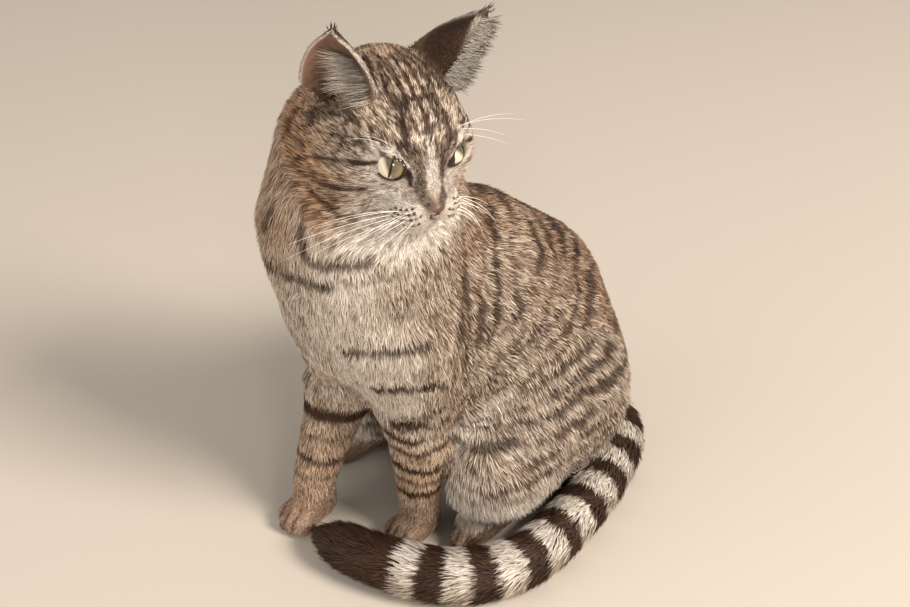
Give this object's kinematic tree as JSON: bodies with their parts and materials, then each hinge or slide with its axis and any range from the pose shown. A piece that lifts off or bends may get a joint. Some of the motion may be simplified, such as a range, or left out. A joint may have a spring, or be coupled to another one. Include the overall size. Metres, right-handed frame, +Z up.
{
  "type": "domestic cat",
  "caption": "A life-size still model of a sitting short-haired tabby cat, its head turned to its left and its tail laid round its feet",
  "frame": {"origin": "on the floor, under the middle of the model's box", "axes": "+Z is up, the body faces -Y and its left side is +X; the head looks towards +X"},
  "size_m": [0.2154, 0.2654, 0.3707],
  "materials": {
    "coat": "short fur, barred and spotted",
    "eye": "wet gloss",
    "nose_leather": "matte"
  },
  "bodies": {
    "root": {"head": "coat", "neck": "coat", "trunk": "coat", "foreleg_left": "coat", "foreleg_right": "coat", "hindleg_left": "coat", "hindleg_right": "coat", "tail_1": "coat", "tail_2": "coat", "tail_3": "coat", "tail_4": "coat", "tail_5": "coat", "ear_left": "coat", "ear_right": "coat", "eye_left": "eye", "eye_right": "eye", "nose": "nose_leather"}
  },
  "joints": []
}
